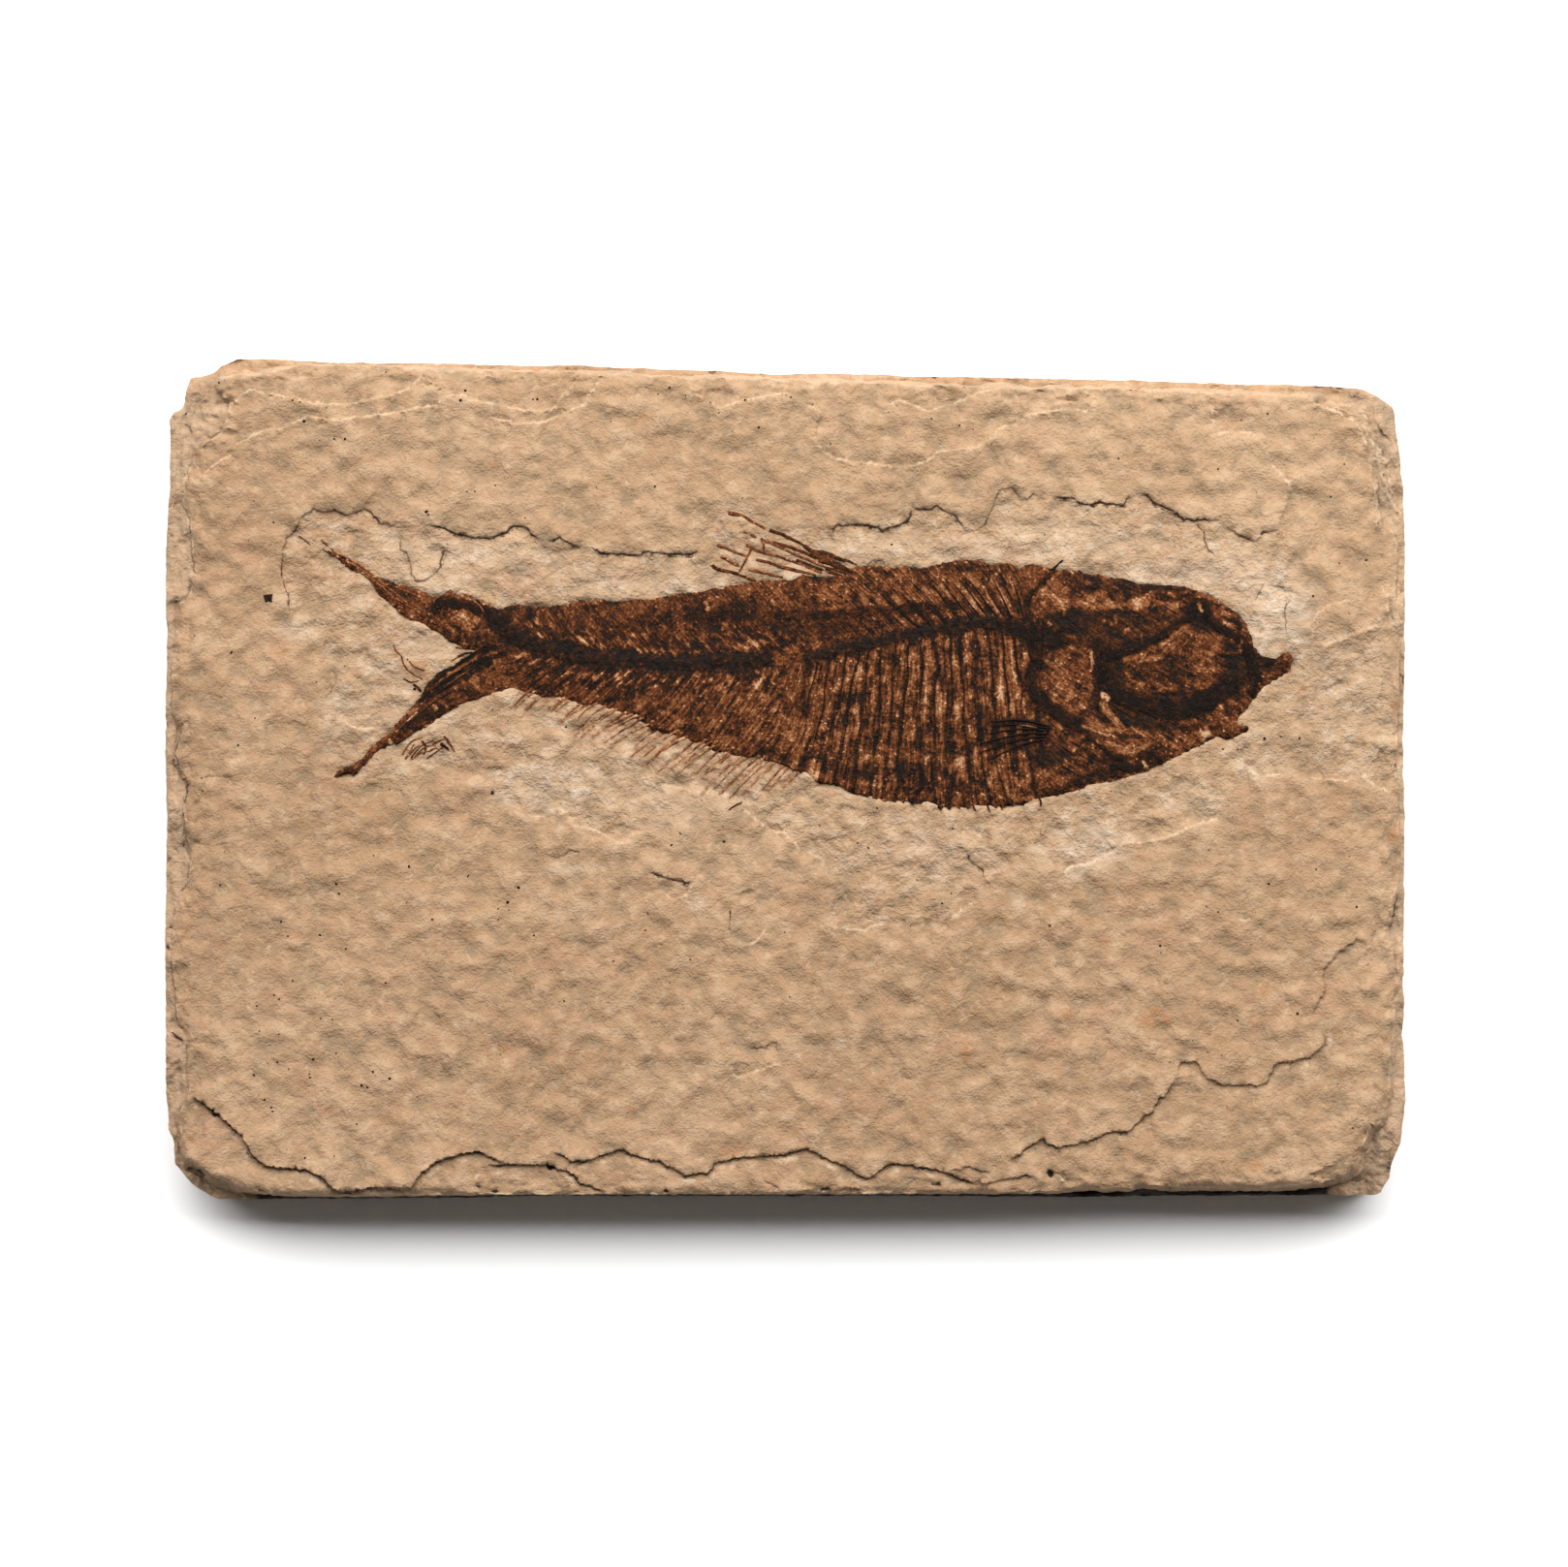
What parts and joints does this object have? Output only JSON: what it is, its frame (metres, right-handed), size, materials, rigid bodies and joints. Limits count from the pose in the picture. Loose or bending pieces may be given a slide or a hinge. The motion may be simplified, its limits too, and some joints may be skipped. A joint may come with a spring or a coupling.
{
  "type": "fossil fish in a limestone slab",
  "caption": "Flattened fossil herring-like fish lying in the face of a chipped plate of laminated limestone, a display piece that rests on its back.",
  "frame": {"origin": "centre of the slab's flat resting face", "axes": "+X from the fish's tail to its snout, +Y towards its back, +Z out of the face that shows the fish"},
  "size_m": [0.15, 0.102, 0.0122],
  "materials": {
    "limestone": "matt, warm tan, split along its bedding",
    "fossil_bone": "dark reddish brown to black, satin"
  },
  "bodies": {
    "root": {"slab": "limestone", "fish": "fossil_bone", "tail_ray_scrap": "fossil_bone"}
  },
  "joints": []
}
